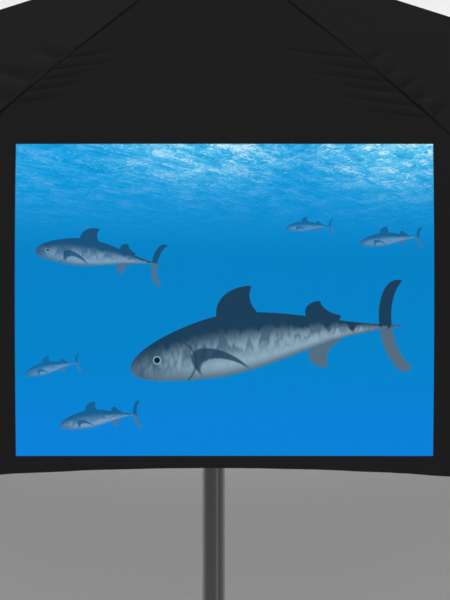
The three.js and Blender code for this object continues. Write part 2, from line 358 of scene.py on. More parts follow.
def quarter(edge, steps):
    """How far a quarter circle of radius edge has run, and how far it is still drawn in, at even turns."""
    turn = np.linspace(0, math.pi / 2, steps)
    return edge * (1 - np.cos(turn)), edge * (1 - np.sin(turn))


def turned(profile, segments=48):
    """A profile turned about the third axis: its radius times cosine and sine of the turn, and its height."""
    turn = round_steps(segments)
    radius, height = np.asarray(profile, float).T[:, :, None]
    return np.stack([radius * np.cos(turn), radius * np.sin(turn), height + 0 * turn], axis=-1)


def rounded(corners, radius, steps=4):
    """An open profile with its inner corners rounded: each becomes a quadratic curve between the points one
    radius away from it on both sides, or nearer where a side is short."""
    corners = np.asarray(corners, float)
    points = [corners[:1]]
    share = np.linspace(0, 1, steps + 1)[:, None]
    for before, corner, after in zip(corners, corners[1:], corners[2:]):
        start, end = (
            corner + side * min(1, radius / np.linalg.norm(side), 0.45) if np.any(side) else corner
            for side in (before - corner, after - corner)
        )
        points.append((1 - share) ** 2 * start + 2 * share * (1 - share) * corner + share**2 * end)
    return np.concatenate([*points, corners[-1:]])


def swept(path_at, run, outlines):
    """Outlines set square to a line at the given distances along it, in the plane of the first and third
    axes. An outline's first number is measured in that plane, and its second one along the second axis."""
    ahead, behind = path_at(run + 0.01 * MM), path_at(run - 0.01 * MM)
    tangent = (ahead - behind) / np.linalg.norm(ahead - behind, axis=1, keepdims=True)
    square = np.stack([-tangent[:, 2], 0 * tangent[:, 0], tangent[:, 0]], axis=1)[:, None]
    return path_at(run)[:, None] + outlines[..., :1] * square + outlines[..., 1:] * np.array([0.0, 1.0, 0.0])


# Sizes and colours that a user would change

def colour(name, thing, value):
    text = f"Colour of the {thing}"
    return FloatVectorProperty(name=name, description=text, default=value, subtype="COLOR", min=0, max=1)


def amount(name, description, value, unit="LENGTH"):
    return FloatProperty(name=name, description=description, default=value, unit=unit, min=0)


class UmbrellaCloth(bpy.types.PropertyGroup):
    """The canopy's cloth, its sewing and its puckers."""

    cloth: colour("Cloth", "plain cloth", (0.0096, 0.0096, 0.0096))
    thread: colour("Thread", "sewing thread", (0.014, 0.014, 0.015))
    weave: amount("Weave", "Distance between two threads of the weave", 0.6 * MM)
    pucker: amount("Pucker height", "Height of the strongest puckers beside a seam", 0.75 * MM)
    groove: amount("Seam groove", "Depth of the groove where two panels meet", 0.30 * MM)
    hem: amount("Hem width", "Width of the folded hem", 5 * MM)
    stitch: amount("Stitch", "Length of one stitch with its gap", 2.6 * MM)


class UmbrellaPrint(bpy.types.PropertyGroup):
    """The picture printed on the front panel."""

    top_width: amount("Width at the top", "Width of the print at its upper edge", 174.6 * MM)
    hem_width: amount("Width at the hem", "Width of the print at its lower edge", 164.4 * MM)
    top: amount("Top edge", "Drop of the upper edge under the hinges, along the shaft", 77.65 * MM)
    height: amount("Height", "Height of the print along the shaft", 117 * MM)
    shift: amount("Shift", "How far the print's middle is right of the shaft", 4.9 * MM)
    deep: colour("Deep water", "deep water", (0.000, 0.214, 0.545))
    low: colour("Low water", "water near the lower edge", (0.002, 0.204, 0.640))
    shallow: colour("Shallow water", "water under its surface", (0.005, 0.360, 0.760))
    glow: colour("Glow", "water that the light shines through", (0.120, 0.680, 0.940))
    glint: colour("Glints", "light on the ripples", (0.78, 0.98, 1.0))
    back: colour("Backs", "backs of the fish", (0.010, 0.036, 0.068))
    belly: colour("Bellies", "bellies of the fish", (0.30, 0.44, 0.53))
    pupil: colour("Pupils", "eyes of the fish", (0.002, 0.004, 0.006))


class UmbrellaFrame(bpy.types.PropertyGroup):
    """The finishes of the shaft, the linkage and the handle."""

    paint: colour("Shaft paint", "painted shaft and stretchers", (0.010, 0.010, 0.011))
    rod: colour("Rib rods", "ribs", (0.014, 0.014, 0.015))
    plastic: colour("Fittings", "moulded fittings", (0.012, 0.012, 0.013))
    nickel: colour("Black nickel", "plated fittings", (0.16, 0.16, 0.17))
    rubber: colour("Grip", "coated handle", (0.016, 0.016, 0.017))


class UmbrellaStage(bpy.types.PropertyGroup):
    """The floor and the light."""

    floor: colour("Floor", "floor", (0.86, 0.86, 0.85))
    sky: amount("Sky", "Strength of the even light from all round", 0.80, "NONE")
    key: amount("Key light", "Power of the large light above", 76, "POWER")
    fill: amount("Fill light", "Power of the light in front", 40, "POWER")


# Materials

class Value:
    """An output of a node. Arithmetic with it adds nodes to its material, and gives their output."""

    def __init__(self, finish, socket):
        self.finish, self.socket = finish, socket

    def __add__(self, other):
        return self.finish.math("ADD", self, other)

    def __sub__(self, other):
        return self.finish.math("SUBTRACT", self, other)

    def __rsub__(self, other):
        return self.finish.math("SUBTRACT", other, self)

    def __mul__(self, other):
        return self.finish.math("MULTIPLY", self, other)

    def __truediv__(self, other):
        return self.finish.math("DIVIDE", self, other)

    def __rtruediv__(self, other):
        return self.finish.math("DIVIDE", other, self)

    def __abs__(self):
        return self.finish.math("ABSOLUTE", self)

    __radd__ = __add__
    __rmul__ = __mul__

    def step(self, low, high, start=0.0, end=1.0):
        """A smooth step from start, where this value is low, to end, where it is high."""
        inputs = {0: self, 1: low, 2: high, 3: start, 4: end}
        return self.finish.node("ShaderNodeMapRange", inputs, interpolation_type="SMOOTHSTEP")


class Finish:
    """A material on a Principled shader. Most methods add one kind of node and return its output. What is
    given to a node is a number, a colour or another node's output."""

    def __init__(self, name, **sockets):
        self.material = bpy.data.materials.new(name)
        self.material.use_nodes = True
        self.tree = self.material.node_tree
        self.shader = self.tree.nodes["Principled BSDF"]
        for socket, value in sockets.items():
            self.shader.inputs[socket.replace("_", " ").title().replace("Ior", "IOR")].default_value = value

    def node(self, kind, inputs, output=0, **settings):
        node = self.tree.nodes.new(kind)
        for name, value in settings.items():
            setattr(node, name, value)
        for socket, value in inputs.items():
            if isinstance(value, Value):
                self.tree.links.new(value.socket, node.inputs[socket])
            elif node.inputs[socket].type == "RGBA":
                node.inputs[socket].default_value = (*value, 1)
            else:
                node.inputs[socket].default_value = value
        return Value(self, node.outputs[output])

    def link(self, value, socket):
        self.tree.links.new(value.socket, self.shader.inputs[socket])

    def uv(self, layer):
        return self.node("ShaderNodeUVMap", {}, uv_map=layer)

    def parts(self, vector):
        """The three numbers of a vector."""
        first = self.node("ShaderNodeSeparateXYZ", {0: vector})
        return [Value(self, output) for output in first.socket.node.outputs]

    def vector(self, *numbers):
        return self.node("ShaderNodeCombineXYZ", dict(enumerate(numbers)))

    def math(self, operation, *values):
        return self.node("ShaderNodeMath", dict(enumerate(values)), operation=operation)

    def mapped(self, vector, kind="POINT", location=(0, 0, 0), rotation=(0, 0, 0), scale=(1, 1, 1)):
        inputs = {"Vector": vector, "Location": location, "Rotation": rotation, "Scale": scale}
        return self.node("ShaderNodeMapping", inputs, vector_type=kind)

    def noise(self, vector, scale, detail, roughness):
        inputs = {"Vector": vector, "Scale": scale, "Detail": detail, "Roughness": roughness}
        return self.node("ShaderNodeTexNoise", inputs)

    def mix(self, factor, first, second):
        """A colour between two others, the second one where the factor is 1."""
        return self.node("ShaderNodeMix", {0: factor, 6: first, 7: second}, output=2, data_type="RGBA")

    def choose(self, condition, otherwise, value):
        """A vector where a condition is 1, and another one where it is 0."""
        inputs = {0: condition, 4: otherwise, 5: value}
        return self.node("ShaderNodeMix", inputs, output=1, data_type="VECTOR")

    def scaled(self, tint, factor):
        """A colour times a number."""
        return self.node("ShaderNodeVectorMath", {0: tint, 3: factor}, operation="SCALE")

    def bump(self, height, distance, strength):
        inputs = {"Height": height, "Distance": distance, "Strength": strength}
        self.link(self.node("ShaderNodeBump", inputs), "Normal")

    def wear(self, tint, worn, change, roughness):
        """Colours the surface, with its tint changed by a factor where it is worn, and roughens it."""
        self.link(self.mix(worn, tint, [change * value for value in tint]), "Base Color")
        self.link(roughness, "Roughness")

    def object_place(self):
        return self.node("ShaderNodeTexCoord", {}, output=3)

    def shaft_place(self):
        """Object coordinates in the umbrella's own axes, so that the third number runs along the shaft."""
        turn = Matrix(UMBRELLA.T.tolist()).to_euler()
        return self.mapped(self.object_place(), "TEXTURE", location=tuple(CENTRE), rotation=tuple(turn))


def ellipse(finish, place, middle, reach, angle=0.0):
    """Distance from an ellipse's middle, 1 on its edge: the length of the place, moved, turned and scaled."""
    local = finish.mapped(place, "TEXTURE", (*middle, 0), (0, 0, math.radians(angle)), (*reach, 1))
    return finish.node("ShaderNodeVectorMath", {0: local}, output=1, operation="LENGTH")


def crescent(finish, place, middle, reach, angle, bite, bite_reach):
    """A curved fin: the inside of one ellipse and the outside of another. It is under 1 inside."""
    whole = ellipse(finish, place, middle, reach, angle)
    return finish.math("MAXIMUM", whole, 2.0 - ellipse(finish, place, bite, bite_reach, angle))


# Middle, reach, turn and haze of each fish, in heights of the print
SCHOOL = [
    ((0.13, -0.13), 0.440, 9, 0.05),
    ((-0.40, 0.14), 0.205, -7, 0.25),
    ((0.53, 0.19), 0.100, 6, 0.50),
    ((0.27, 0.23), 0.075, 2, 0.60),
    ((-0.40, -0.38), 0.130, 8, 0.38),
    ((-0.55, -0.22), 0.090, 12, 0.52),
]
# Each fin of a fish in its own half-lengths: the middle, reach and turn of an ellipse, and the middle and
# reach of the ellipse that is cut from it
TAIL_AND_FINS = [
    ((-1.00, -0.07), (0.17, 0.34), 0, (-1.14, -0.07), (0.22, 0.36)),
    ((0.06, 0.18), (0.27, 0.21), 16, (-0.20, 0.27), (0.27, 0.20)),
    ((-0.42, -0.16), (0.13, 0.11), -20, (-0.56, -0.21), (0.15, 0.11)),
    ((-0.44, 0.11), (0.13, 0.09), 20, (-0.58, 0.17), (0.15, 0.09)),
]
BREAST_FIN = ((0.34, -0.17), (0.25, 0.12), 34, (0.27, -0.27), (0.26, 0.13))


def school_place(finish, place):
    """The place in the nearest fish's own half-lengths, from its middle towards its nose, and its haze and
    reach. The fish keep clear of each other, so each place belongs to one of them or to none."""
    local, facts = (3, 3, 0), (0, 1, 0)
    for middle, reach, angle, haze in SCHOOL:
        own = finish.mapped(place, "TEXTURE", (*middle, 0), (0, 0, math.radians(angle)), (-reach, reach, 1))
        around = ellipse(finish, place, middle, (1.3 * reach, 0.6 * reach), angle)
        near = finish.math("LESS_THAN", around, 1.0)
        local = finish.choose(near, local, own)
        facts = finish.choose(near, facts, (haze, reach, 0))
    haze, reach, _ = finish.parts(facts)
    return local, haze, reach


def add_school(finish, place, picture, colours, mottle):
    """Paints the fish, which swim to the left. A body is an ellipse tapered towards a crescent tail, with
    curved fins. It is dark on the back, mottled on the flank, pale below, and darker towards its outline."""
    local, haze, reach = school_place(finish, place)
    x, y, _ = finish.parts(local)
    taper = x.step(-1.05, 0.45, 0.10, 1.0)
    arched = y + x * x * 0.07
    body = ellipse(finish, finish.vector(x, arched / taper, 0), (0.0, 0.0), (1.0, 0.235))
    outline = body
    for fin in TAIL_AND_FINS:
        outline = finish.math("MINIMUM", outline, crescent(finish, local, *fin))
    softness = 0.003 / reach
    mask = outline.step(1.0 + softness, 1.0 - softness)
    height = (arched + (mottle - 0.5) * 0.22) / taper
    flank, low = height.step(0.13, -0.03), height.step(0.02, -0.16)
    tone = finish.math("MAXIMUM", flank * (0.22 + mottle.step(0.40, 0.58) * 0.55), low * 0.85)
    skin = finish.mix(tone * body.step(1.04, 0.62, 0.30, 1.0), colours.back, colours.belly)
    gill = abs(ellipse(finish, local, (0.86, -0.07), (0.34, 0.22)) - 1.0)
    behind_head = gill.step(0.05, 0.0) * x.step(0.66, 0.58)
    skin = finish.mix(behind_head * 0.7, skin, colours.back)
    breast_fin = crescent(finish, local, *BREAST_FIN)
    skin = finish.mix(breast_fin.step(1.05, 0.93, 0.0, 0.9), skin, colours.back)
    eye = ellipse(finish, local, (0.80, -0.035), (0.021, 0.021))
    skin = finish.mix(eye.step(1.7, 1.2, 0.0, 0.7), skin, colours.belly)
    skin = finish.mix(eye.step(1.15, 0.9), skin, colours.pupil)
    return finish.mix(mask, picture, finish.mix(haze, skin, colours.deep))


def underwater_picture(finish, colours):
    """Water that grows lighter upwards, rippled light on its surface above, and a school of fish. Ripples
    are noise on the place divided by its height over a low horizon, so that they shrink with distance."""
    place = finish.uv("print")
    x, y, _ = finish.parts(place)
    water = finish.mix(y.step(-0.5, -0.12, 0.9, 0.0), colours.deep, colours.low)
    water = finish.mix(y.step(0.10, 0.50), water, colours.shallow)
    horizon, least_depth = 0.02, 0.05
    depth = finish.math("MAXIMUM", y - horizon, least_depth)
    ripple_place = finish.vector(x / depth, 1.15 / depth, 0)
    swell = finish.noise(ripple_place, 3.2, 4.0, 0.65)
    shift = finish.vector(swell, swell, 0)
    warped = finish.node("ShaderNodeVectorMath", {0: ripple_place, 1: shift}, operation="ADD")
    fine = finish.noise(finish.mapped(warped, scale=(1, 1.7, 1), location=(7, 3, 0)), 11.0, 5.0, 0.68)
    centre_glow = ellipse(finish, place, (-0.06, 0.64), (0.48, 0.36)).step(1.0, 0.2)
    right_glow = ellipse(finish, place, (0.55, 0.60), (0.40, 0.34)).step(1.0, 0.2)
    glow = finish.math("MAXIMUM", centre_glow, right_glow)
    water = finish.mix(glow * 0.62, water, colours.glow)
    ripples = swell * 0.35 + fine * 0.65
    light = ripples.step(0.49, 0.60) * y.step(0.17, 0.47) * (0.12 + glow * 0.88)
    shade = ripples.step(0.50, 0.38) * y.step(0.10, 0.42)
    water = finish.mix(shade * 0.70, water, colours.deep)
    picture = finish.mix(light, water, colours.glint)
    mottle = finish.noise(finish.mapped(place, scale=(26, 9, 1)), 1.0, 3.0, 0.6)
    return add_school(finish, place, picture, colours, mottle)


def cloth_finish(cloth, picture=None):
    """Plain woven cloth: two crossed waves for the weave, uneven dye, painted shade in the valleys of the
    puckers and painted light on their crests, a dark line of painted shade in the seam's groove, and stitches
    along the hem. The sewing map holds the distances from the seam and from the hem."""
    finish = Finish(
        "printed cloth" if picture else "plain cloth",
        roughness=0.95, specular_ior_level=0.02, sheen_weight=0.002, sheen_roughness=0.6,
    )
    sewing = finish.uv("sewing")
    from_seam, from_hem, _ = finish.parts(sewing)
    warp, weft = (finish.math("SINE", run * (math.tau / cloth.weave)) for run in (from_seam, from_hem))
    weave = warp * weft
    dye = finish.noise(finish.object_place(), 9.0, 3.0, 0.55)
    slub = finish.noise(finish.mapped(sewing, scale=(60, 900, 1)), 1.0, 2.0, 0.5)
    ground = finish.scaled(cloth.cloth, 0.87 + (dye * 0.16 + slub * 0.10 + weave * 0.03))
    if picture:
        x, y, _ = finish.parts(finish.uv("print"))
        half_print, edge = 0.5 * PRINT_PROPORTION, 0.0016
        inside = abs(x).step(half_print + edge, half_print - edge) * abs(y).step(0.5 + edge, 0.5 - edge)
        outer_face = finish.node("ShaderNodeAttribute", {}, output=2, attribute_name="outside")
        ink = finish.scaled(underwater_picture(finish, picture), 0.97 + weave * 0.03)
        ground = finish.mix(inside * outer_face, ground, ink)
    # Painted shade and painted light: the cloth is darker in the valleys of the puckers and lighter on their
    # crests
    fold, pull, _ = finish.parts(finish.uv("folds"))
    ground = finish.scaled(ground, fold.step(-1.0, 1.0, 0.74, 1.10))
    # Painted shade: a dark line in the seam's groove, darker where the groove is deeper
    seam = from_seam.step(0.45 * MM, 1.6 * MM, 1.0, 0.0) * pull.step(0.6, 1.4, 0.55, 0.95)
    ground = finish.mix(seam, ground, finish.scaled(cloth.cloth, 0.2))
    dash = abs(finish.math("FRACT", from_seam / cloth.stitch) - 0.5).step(0.40, 0.30)
    stitch = dash * abs(from_hem - (cloth.hem - 1.2 * MM)).step(0.35 * MM, 0.15 * MM)
    finish.link(finish.mix(stitch * 0.8, ground, cloth.thread), "Base Color")
    finish.bump(weave * 0.12 + stitch, 0.15 * MM, 0.7)
    return finish.material


def paint_finish(name, tint):
    """Glossy paint: fine orange peel, and scuffs drawn out along the shaft."""
    finish = Finish(name, coat_weight=0.6, coat_roughness=0.12)
    place = finish.shaft_place()
    scuffed = finish.noise(finish.mapped(place, scale=(900, 900, 14)), 1.0, 3.0, 0.6).step(0.60, 0.78)
    finish.wear(tint, scuffed, 2.6, 0.30 + scuffed * 0.22)
    finish.bump(finish.noise(place, 1400.0, 1.0, 0.5), 0.02 * MM, 0.35)
    return finish.material


def rod_finish(tint):
    """Drawn fibre rod: streaks along the rod from its own map, and a satin resin skin."""
    finish = Finish("fibre rod", specular_ior_level=0.45)
    streak = finish.noise(finish.mapped(finish.uv("along"), scale=(25, 4200, 1)), 1.0, 3.0, 0.6)
    finish.wear(tint, streak.step(0.35, 0.7), 2.2, 0.32 + streak * 0.25)
    finish.bump(streak, 0.03 * MM, 0.4)
    return finish.material


def plastic_finish(tint):
    """Moulded plastic: a fine spark-eroded grain and faint rubbed patches."""
    finish = Finish("moulded plastic", specular_ior_level=0.5)
    place = finish.shaft_place()
    rubbed = finish.noise(place, 160.0, 3.0, 0.6).step(0.52, 0.72)
    finish.wear(tint, rubbed, 1.9, 0.46 - rubbed * 0.16)
    finish.bump(finish.noise(place, 2600.0, 2.0, 0.6), 0.02 * MM, 0.5)
    return finish.material


def nickel_finish(tint):
    """Black nickel plate: lathe lines round the shaft, and dull smudges from handling."""
    finish = Finish("black nickel", metallic=1.0)
    place = finish.shaft_place()
    height = finish.parts(place)[2]
    smudge = finish.noise(place, 120.0, 4.0, 0.6)
    finish.wear(tint, smudge.step(0.45, 0.7), 0.6, 0.16 + smudge * 0.22)
    finish.bump(finish.noise(finish.vector(0, 0, height * 9000), 1.0, 2.0, 0.5), 0.01 * MM, 0.5)
    return finish.material


def rubber_finish(tint):
    """Soft-touch coat: a dense pebble from small cells, duller where the hand has left it dry."""
    finish = Finish("soft grip coat", specular_ior_level=0.35, sheen_weight=0.04)
    place = finish.shaft_place()
    handled = finish.noise(place, 38.0, 4.0, 0.6)
    finish.wear(tint, handled.step(0.42, 0.68), 1.7, 0.50 + handled * 0.25)
    finish.bump(finish.node("ShaderNodeTexVoronoi", {"Vector": place, "Scale": 1100.0}), 0.07 * MM, 0.8)
    return finish.material


def thread_finish(tint):
    """Sewing thread: twist lines that cross the thread's own map at a slant."""
    finish = Finish("sewing thread", roughness=0.8, sheen_weight=0.1)
    along, around, _ = finish.parts(finish.uv("along"))
    twist = finish.math("SINE", (along + around) * (math.tau / (0.5 * MM)))
    finish.link(finish.scaled(tint, 0.9 + twist * 0.3), "Base Color")
    finish.bump(twist, 0.04 * MM, 0.6)
    return finish.material


# The canopy

# Puckers beside the two front seams, by rib and side: where the first one meets the seam, from the shaft,
# how many there are, their spacing along the seam, their reach into the panel, how much of it each climbs
# to the crown, and their share of the full height
FRONT_PUCKERS = {
    (8, 1): (0.166, 5, 0.0142, 0.015, 0.38, 0.95),
    (8, -1): (0.165, 3, 0.0270, 0.024, 0.30, 1.05),
    (1, -1): (0.166, 6, 0.0150, 0.021, 0.27, 0.74),
    (1, 1): (0.172, 5, 0.0165, 0.013, 0.62, 1.05),
}


def hidden_puckers(number, side):
    """Puckers for a seam that the photograph doesn't show, drawn by lot but the same each time."""
    lot = np.random.default_rng(10 * number + side)
    first, count = lot.uniform(0.13, 0.20), int(lot.integers(4, 8))
    ranges = ((0.014, 0.022), (0.016, 0.036), (0.25, 1.10), (0.70, 1.05))
    return first, count, *(lot.uniform(*limits) for limits in ranges)


def puckers(number, side, radius, from_seam, across):
    """The puckers beside a seam, -1 in a valley and 1 on a crest: a wave of the distance down the seam plus
    a share of the distance from it, slightly uneven, between its first and last valley. It starts softly
    at the seam, fades with the distance from it, and is gone at the panel's middle."""
    known = FRONT_PUCKERS.get((number, side))
    first, count, spacing, reach, climb, share = known or hidden_puckers(number, side)
    turns = (radius - first + climb * from_seam) / spacing
    uneven = math.tau * (turns + 0.06 * np.sin(2.3 * turns + number) + 0.04 * np.sin(5.1 * turns + side))
    window = smooth_step(turns, -0.8, -0.1) * smooth_step(turns, count - 0.1, count - 0.9)
    own_reach = reach * (1 + 0.25 * np.sin(2.9 * turns + 1.3 * number))
    wave = -np.cos(uneven) - 0.18 * np.sin(2 * uneven)
    begun = smooth_step(from_seam, 0.2 * MM, 5 * MM)
    fading = smooth_step(from_seam, 1.7 * own_reach, 0.35 * own_reach) * smooth_step(across, 1.0, 0.55)
    return share * wave * window * begun * fading


def slow_waves(number, side, radius, from_seam, across):
    """Slow waves of the cloth, as shares of the puckers' height: one set down the seam, one along the hem."""
    down = np.sin(math.tau * radius / 0.083 + number + side) * bell(from_seam, 0.05) * 0.12
    along = np.sin(math.tau * from_seam / 0.031 + number) * smooth_step(radius, 0.47, 0.52) * 0.15
    return (down + along) * smooth_step(from_seam, 0, 8 * MM) * smooth_step(across, 1.0, 0.55)


def cloth_rows(hem):
    """Shares of the way from the shaft to the hem, closer together where the cloth puckers and at the hem."""
    at_fold = np.array([1.6, 0.9, 0.5, 0, -0.9, -1.6]) * MM
    at_edge = np.array([2.6, 1.9, 1.2, 0.7, 0.3, 0]) * MM
    hem_rows = 1 - np.concatenate([hem + at_fold, at_edge]) / CLOTH_SPAN
    even = [np.linspace(*ends)[1:] for ends in ((0.10, 0.28, 132), (0.28, 0.50, 62))]
    shares = (np.concatenate([np.linspace(CROWN_EDGE, 0.10, 20), *even]) - CLOTH_HOLE) / CLOTH_SPAN
    return np.sort(np.concatenate([shares[shares < hem_rows.min() - 0.002], hem_rows]))


def half_width(share):
    """Half the width of a panel, from the seam to its middle, at a share of the way to the hem."""
    return (CLOTH_HOLE + CLOTH_SPAN * share) * math.sin(HALF_SECTOR)


def fold_plane(side):
    """The plane on to which the cloth beside a rib folds: its normal in the rib's own axes, and its distance
    from the hinge along it. When the rib has closed, it lies beside the plane through the shaft and the
    panel's middle, and leans away from that one by as much as the cloth's kept thickness grows."""
    away = np.array([math.cos(FOLD_ANGLE), 0, math.sin(FOLD_ANGLE)])
    down = np.array([math.sin(FOLD_ANGLE), 0, -math.cos(FOLD_ANGLE)])
    normal = np.array([0, side * math.cos(HALF_SECTOR), 0]) - math.sin(HALF_SECTOR) * away + FOLD_LEAN * down
    size = np.linalg.norm(normal)
    return normal / size, (math.sin(HALF_SECTOR) * HINGE_RADIUS - FOLD_GAP) / size


def fold_line(share):
    """How far across the panel the fold's plane meets its cloth, found by halving, or 1 if it doesn't."""
    normal, distance = fold_plane(1)
    low, high = np.zeros_like(share), np.ones_like(share)
    for _ in range(30):
        middle = (low + high) / 2
        beyond = (panel_point(middle, share, 1, CLOTH_TOP) - HINGE) @ normal > distance
        low, high = np.where(beyond, low, middle), np.where(beyond, middle, high)
    return high


def strip_columns(share, edge):
    """Places across the panel from the seam to an edge, close together beside the seam."""
    evenly = edge * np.arange(len(SEAM_COLUMNS)) / (len(SEAM_COLUMNS) + STRIP_COLUMNS - 1)
    near = np.minimum(SEAM_COLUMNS / half_width(share), evenly)
    last = near[:, -1:]
    return np.concatenate([near, last + (edge - last) * np.linspace(0, 1, STRIP_COLUMNS + 1)[1:]], axis=1)


def cloth_grid(cloth, number, side, share, across):
    """The outer and inner faces of the cloth on one side of a rib at the given shares of the way to the hem
    and places across the panel, its distances from the seam and the hem, and its puckers with the pull of
    the seam."""
    from_seam = across * half_width(share)
    share = share + 0 * across
    radius = CLOTH_HOLE + CLOTH_SPAN * share
    from_hem = (1 - share) * CLOTH_SPAN * np.hypot(1, fall_slope(radius))
    folds = puckers(number, side, radius, from_seam, across)
    pull = 1 + 0.35 * np.sin(math.tau * radius / 0.11 + 1.7 * number)
    relief = cloth.pucker * (folds + slow_waves(number, side, radius, from_seam, across))
    relief = relief - 0.8 * MM * smooth_step(from_hem, 2.6 * MM, 0) ** 2
    relief = relief - cloth.groove * pull * bell(from_seam, 0.85 * MM)
    hem_fold = 0.16 * MM * smooth_step(from_hem, cloth.hem + 0.5 * MM, cloth.hem - 0.5 * MM)
    outer = panel_point(across, share, side, CLOTH_TOP + relief + hem_fold)
    allowance = smooth_step(from_seam, SEAM_ALLOWANCE + 0.3 * MM, SEAM_ALLOWANCE - 0.2 * MM)
    allowance = allowance * smooth_step(from_seam, 0.6 * MM, 1.5 * MM) * (0.22 * MM if side > 0 else 0)
    inner = panel_point(across, share, side, CLOTH_TOP - CLOTH_THICKNESS + relief - hem_fold - allowance)
    return outer, inner, np.stack([from_seam, from_hem], axis=-1), np.stack([folds, pull], axis=-1)


def strip_grid(cloth, number, share):
    """The cloth along a seam, on both sides of it as far as the fold lines, as cloth_grid gives it."""
    across = strip_columns(share, fold_line(share))
    sides = (cloth_grid(cloth, number, side, share, across) for side in (-1, 1))
    return [np.concatenate([right[:, :0:-1], left], axis=1) for right, left in zip(*sides)]


def flap_grid(cloth, number, side, share):
    """The cloth from the fold line to the panel's middle, as cloth_grid gives it."""
    edge = fold_line(share)
    return cloth_grid(cloth, number, side, share, edge + (1 - edge) * np.linspace(0, 1, FLAP_COLUMNS + 1))


def crown_grid(cloth):
    """The cloth on the hub as one closed ring, with its two maps. Its rows run over the outer face outwards,
    over the inner face back to the hole and on to the first row, its columns round the shaft."""
    share = np.linspace(0, CROWN_EDGE - CLOTH_HOLE, 12)[:, None] / CLOTH_SPAN
    across = strip_columns(share, np.ones_like(share))
    parts = []
    for number in RIB_NUMBERS:
        turn = spoke_axes(number) @ UMBRELLA.T
        for side in (-1, 1):
            outer, inner, sewing, folds = cloth_grid(cloth, number, side, share, across)
            part = [np.concatenate([outer, inner[::-1], outer[:1]]) @ turn]
            part += [np.concatenate([values, values[::-1], values[:1]]) for values in (sewing, folds)]
            parts.append([values[:, ::side][:, :-1] for values in part])
    points, sewing, folds = (np.concatenate(values, axis=1) for values in zip(*parts))
    return points, closed_up(sewing), closed_up(folds)


def print_place(points, number, picture):
    """Where each point lies in the print, in heights of the print from its middle, as the photograph shows
    it. The print narrows evenly from its upper to its lower edge."""
    own = (points @ spoke_axes(number)) @ UMBRELLA.T
    down = (-picture.top - own[..., 2]) / picture.height
    width_here = picture.top_width + (picture.hem_width - picture.top_width) * down
    across = (own[..., 0] - picture.shift) / width_here * PRINT_PROPORTION
    return np.stack([across, 0.5 - down], axis=-1)


def flat_area(outer):
    """Area of the cut cloth of one piece: the sum of its level chords times the way between them."""
    chords = np.linalg.norm(outer[:, -1] - outer[:, 0], axis=1)
    return float(((chords[1:] + chords[:-1]) / 2 * gaps(outer[:, -1])).sum())


class UMBRELLA_OT_canopy(bpy.types.Operator):
    """Makes the cloth: along each rib a strip with the seam, a flap on both sides of it, and the crown"""

    bl_idname = "umbrella.canopy"
    bl_label = "Canopy"

    def execute(self, context):
        cloth, picture = context.scene.umbrella_cloth, context.scene.umbrella_print
        plain, printed = cloth_finish(cloth), cloth_finish(cloth, picture)
        share = cloth_rows(cloth.hem)[:, None]
        for number in RIB_NUMBERS:
            material = printed if number in FRONT_RIBS else plain
            strip = strip_grid(cloth, number, share)
            rod = f"rib_rod_{number}"
            seam = self.add_cloth(f"cloth_{number}_seam", number, strip, picture, material, rod)
            for side, side_name in ((-1, "right"), (1, "left")):
                grid, name = flap_grid(cloth, number, side, share), f"cloth_{number}_{side_name}"
                flap = self.add_cloth(name, number, grid, picture, material, seam.name)
                normal, distance = fold_plane(side)
                anchor = placed(HINGE + distance * normal, spoke_axes(number))
                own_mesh(flap)
        self.add_crown(cloth, plain)
        return {"FINISHED"}

    def add_crown(self, cloth, material):
        points, sewing, folds = crown_grid(cloth)
        surface = Surface(("sewing", "folds"))
        surface.add(points, closed=True, sewing=sewing, folds=folds)
        piece = surface.make("cloth_crown", "root", material, crease=60)

    def add_cloth(self, name, number, grid, picture, material, held_by):
        outer, inner, sewing, folds = grid
        surface = Surface(("sewing", "print", "folds"))
        place = print_place(outer, number, picture)
        surface.add_shell(outer, inner, sewing=sewing, print=place, folds=folds)
        piece = surface.make(name, f"rib_{number}", material, spoke_axes(number), crease=60)
        self.mark_outside(piece)
        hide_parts(f"gore_{number}")
        width = float(np.linalg.norm(outer[:, -1] - outer[:, 0], axis=1).max())
        flat_area(outer)
        return piece

    def mark_outside(self, piece):
        """An attribute that is 1 where a face of the cloth looks away from the shaft's lower end."""
        mesh = piece.data
        normals = np.zeros(3 * len(mesh.polygons), np.float32)
        mesh.polygons.foreach_get("normal", normals)
        outside = (normals.reshape(-1, 3) @ ALONG > 0.2).astype(np.float32)
        mesh.attributes.new("outside", "FLOAT", "FACE").data.foreach_set("value", outside)


# Ribs, tips, clips and ties

RIB_TABLE = np.linspace(HINGE_RADIUS, RIM_RADIUS, 400)
RIB_RUN = np.append(0, np.cumsum(gaps(rib_point(RIB_TABLE))))


def rib_path(distance):
    """A point of the rib by its distance from the hinge, from a fine table of the line."""
    return rib_point(np.interp(distance, RIB_RUN, RIB_TABLE))


def rib_rod():
    """A round rod along the rib's line. Its ends are rounded by a quarter circle."""
    start, drawn_in = quarter(ROD_EDGE, 5)
    even = np.linspace(ROD_EDGE, RIB_RUN[-1] - ROD_EDGE, 70)[1:-1]
    run = np.concatenate([[0], start, even, RIB_RUN[-1] - start[::-1], RIB_RUN[-1:]])
    drawn_in = np.concatenate([[RIB_RADIUS], drawn_in, 0 * even, drawn_in[::-1], [RIB_RADIUS]])
    return swept(rib_path, run, (RIB_RADIUS - drawn_in)[:, None, None] * circle(ROD_SIDES))


def on_rib(points, radius):
    """Points about the third axis, turned to the rib's direction at a radius and moved there."""
    angle = math.pi / 2 + math.atan(fall_slope(radius))
    sine, cosine = math.sin(angle), math.cos(angle)
    return points @ np.array([[cosine, 0, -sine], [0, 1, 0], [sine, 0, cosine]]) + rib_point(radius)


